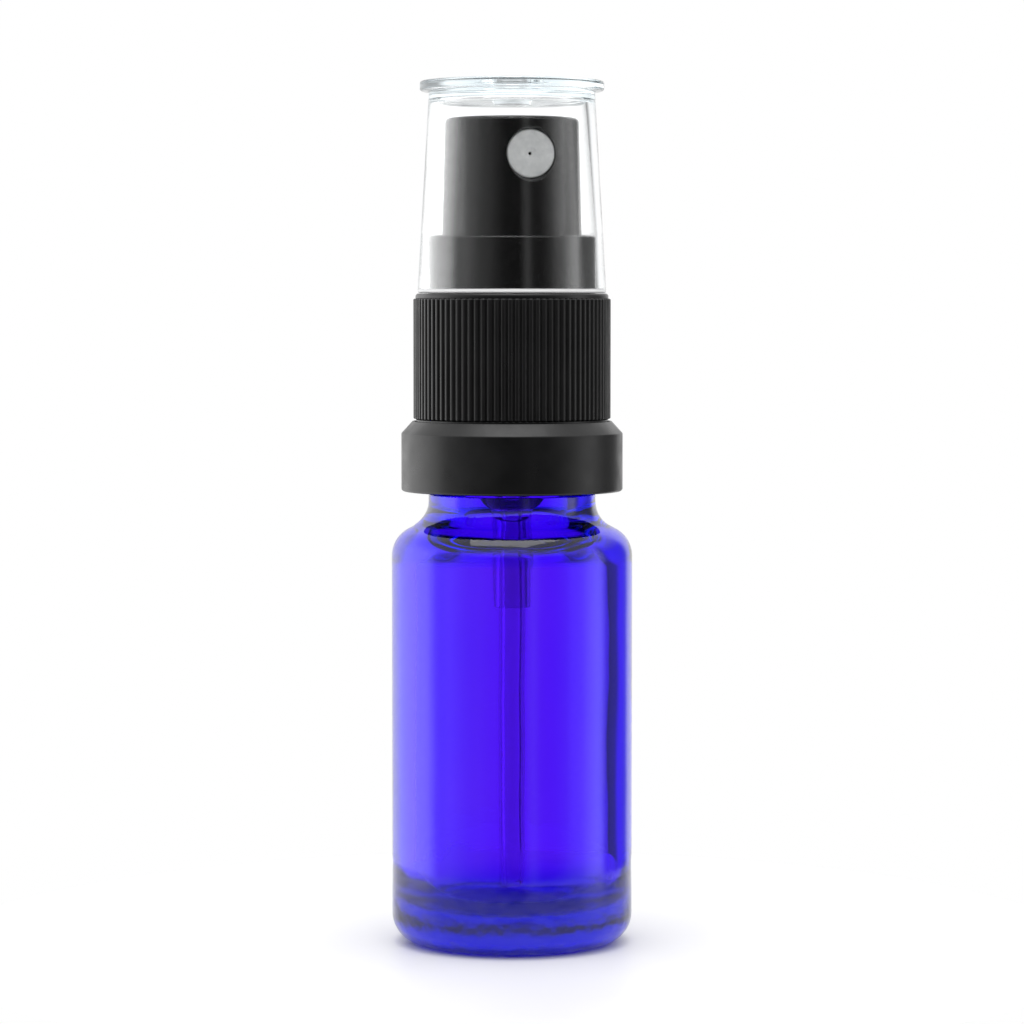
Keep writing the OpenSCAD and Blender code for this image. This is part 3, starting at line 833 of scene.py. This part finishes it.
# ---------------------------------------------------------------- Guide plug and stems
# Acetal mouldings inside the pump: the plug that closes the cup and guides the stem, the
# hollow stem that carries the button, and the fluted rod whose disc seals the piston.

plug_low_z, plug_top_z, plug_r = extent("chaplet")
plug_skirt_r = cup_bore_r - 0.05
plug_bore_r = 2.9
guide_r = stem_r + 0.09
guide_low_z = 64.2
plug_solid = lathe([
    (plug_bore_r, plug_low_z, 0.1), (plug_skirt_r, plug_low_z, 0.15),
    (plug_skirt_r, cup_top_z, 0.05), (plug_r, cup_top_z, 0.1), (plug_r, plug_top_z, 0.25),
    (guide_r, plug_top_z, 0.2), (guide_r, guide_low_z, 0.08), (plug_bore_r, guide_low_z, 0.15)
], steps=96)
add_piece("guide_plug", plug_solid, white_acetal, "pump", "white_acetal", "chaplet")

stem_low_z = extent("upper_stem")[0]
stem_flange_z = extent("precompression_spring")[1]
stem_flange_r = 2.6
stem_flange_top_z = stem_flange_z + 0.6
stem_solid = lathe([
    (stem_bore_r, stem_low_z, 0.1), (stem_r, stem_low_z, 0.15), (stem_r, stem_flange_z, 0.1),
    (stem_flange_r, stem_flange_z, 0.1), (stem_flange_r, stem_flange_top_z, 0.1),
    (stem_r, stem_flange_top_z, 0.15), (stem_r, stem_top_z, 0.15), (stem_bore_r, stem_top_z, 0.1)
], steps=72)
add_piece("hollow_stem", stem_solid, white_acetal, "plunger", "white_acetal", "upper_stem")

rod_low_z, rod_top_z, disc_r = extent("lower_stem")
disc_z = extent("return_spring")[1]
rod_r = 0.8
spigot_r = 1.2
rod_solid = lathe([
    (0, rod_low_z, 0), (spigot_r, rod_low_z, 0.2), (spigot_r, disc_z, 0.1), (disc_r, disc_z, 0.1),
    (disc_r, disc_z + 1, 0.15), (rod_r, disc_z + 1, 0.2), (rod_r, rod_top_z, 0.2), (0, rod_top_z, 0)
], steps=64, closed=False)
flute_half = 0.25
for v in rod_solid.verts:
    if v.co.z > (disc_z + 1.1) * MM and abs(v.co.y) < flute_half * MM:
        v.co.x *= 1 - flute_half / rod_r
add_piece("seat_rod", rod_solid, white_acetal, "plunger", "white_acetal", "lower_stem")


# ---------------------------------------------------------------- Piston
# Soft polyethylene piston with a thin wiping lip at each end.
# It slides on the stem by a little and in the barrel by nearly the whole stroke.

piston_low_z, piston_top_z, lip_r = extent("piston")
waist_r = 2.4
lip_root_r = waist_r + 0.12
lip_groove = 0.35
lip_length = 0.5
lip_end = 1.1
seat_hole_r = 1.45
slide_r = stem_r + 0.05
piston_shelf_z = stem_low_z - 0.7
piston_solid = lathe([
    (seat_hole_r, piston_low_z, 0.08), (waist_r, piston_low_z, 0.08),
    (lip_root_r, piston_low_z + lip_groove, 0.05), (lip_r, piston_low_z, 0.06),
    (lip_r, piston_low_z + lip_length, 0.15), (waist_r, piston_low_z + lip_end, 0.3),
    (waist_r, piston_top_z - lip_end, 0.3), (lip_r, piston_top_z - lip_length, 0.15),
    (lip_r, piston_top_z, 0.06), (lip_root_r, piston_top_z - lip_groove, 0.05),
    (waist_r, piston_top_z, 0.08), (slide_r, piston_top_z, 0.08),
    (slide_r, piston_shelf_z, 0.08), (seat_hole_r, piston_shelf_z, 0.08)
], steps=72)
add_piece("wiping_piston", piston_solid, soft_white, "piston", "soft_polyethylene", "piston")


# ---------------------------------------------------------------- Springs and inlet ball
# Cold-drawn stainless wire, coiled with a closed turn at each end.
# The long spring lifts the stem, the short one holds the piston on its seat, and the
# polished ball at the foot of the barrel is the inlet valve.


def wind(node, mean_r, wire_r, turns):
    """Compression spring between its CAD node's heights, with one closed turn at each end."""
    low_z, high_z, _ = extent(node)
    steps = 32
    closed_rise = 2.05 * wire_r
    free_rise = (high_z - low_z - 2 * wire_r - 2 * closed_rise) / (turns - 2)
    spring = bmesh.new()
    start = Matrix.Translation((mean_r * MM, 0, (low_z + wire_r) * MM))
    wire = bmesh.ops.create_circle(spring, segments=10, radius=wire_r * MM,
                                   matrix=start @ Matrix.Rotation(pi / 2, 4, "X"))
    end = wire["verts"] + list({e for v in wire["verts"] for e in v.link_edges})
    for rise, count in ((closed_rise, 1), (free_rise, turns - 2), (closed_rise, 1)):
        end = bmesh.ops.spin(spring, geom=end, cent=(0, 0, 0), axis=(0, 0, 1), angle=tau * count,
                             dvec=(0, 0, rise * MM / steps), steps=steps * count)["geom_last"]
    bmesh.ops.holes_fill(spring, edges=spring.edges, sides=12)
    bmesh.ops.recalc_face_normals(spring, faces=spring.faces)
    return spring


drawn_wire = new_material("Stainless_wire", (0.56, 0.56, 0.58), Metallic=1)
vary_roughness(drawn_wire, speckle(drawn_wire, 3000, 4, (1, 1, 6)), 0.18, 0.38)
relief(drawn_wire, (speckle(drawn_wire, 9000, 2, (1, 1, 8)), 0.000002))
main_coil = wind("return_spring", mean_r=1.98, wire_r=0.22, turns=7)
main_spring = add_piece("stem_return_spring", main_coil, drawn_wire,
                        "spring", "spring_steel", "return_spring")
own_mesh(main_spring)
valve_coil = wind("precompression_spring", mean_r=2.2, wire_r=0.16, turns=6)
valve_spring = add_piece("piston_spring", valve_coil, drawn_wire,
                         "plunger", "spring_steel", "precompression_spring")
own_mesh(valve_spring)

ball_low_z, ball_top_z, ball_r = extent("inlet_ball")
ball_solid = bmesh.new()
bmesh.ops.create_icosphere(ball_solid, subdivisions=4, radius=ball_r * MM,
                           matrix=Matrix.Translation((0, 0, (ball_low_z + ball_top_z) / 2 * MM)))
polished_steel = new_material("Polished_ball_steel", (0.62, 0.62, 0.63), Metallic=1)
vary_roughness(polished_steel, speckle(polished_steel, 4000, 3), 0.06, 0.16)
add_piece("check_ball", ball_solid, polished_steel, "ball", "spring_steel", "inlet_ball")
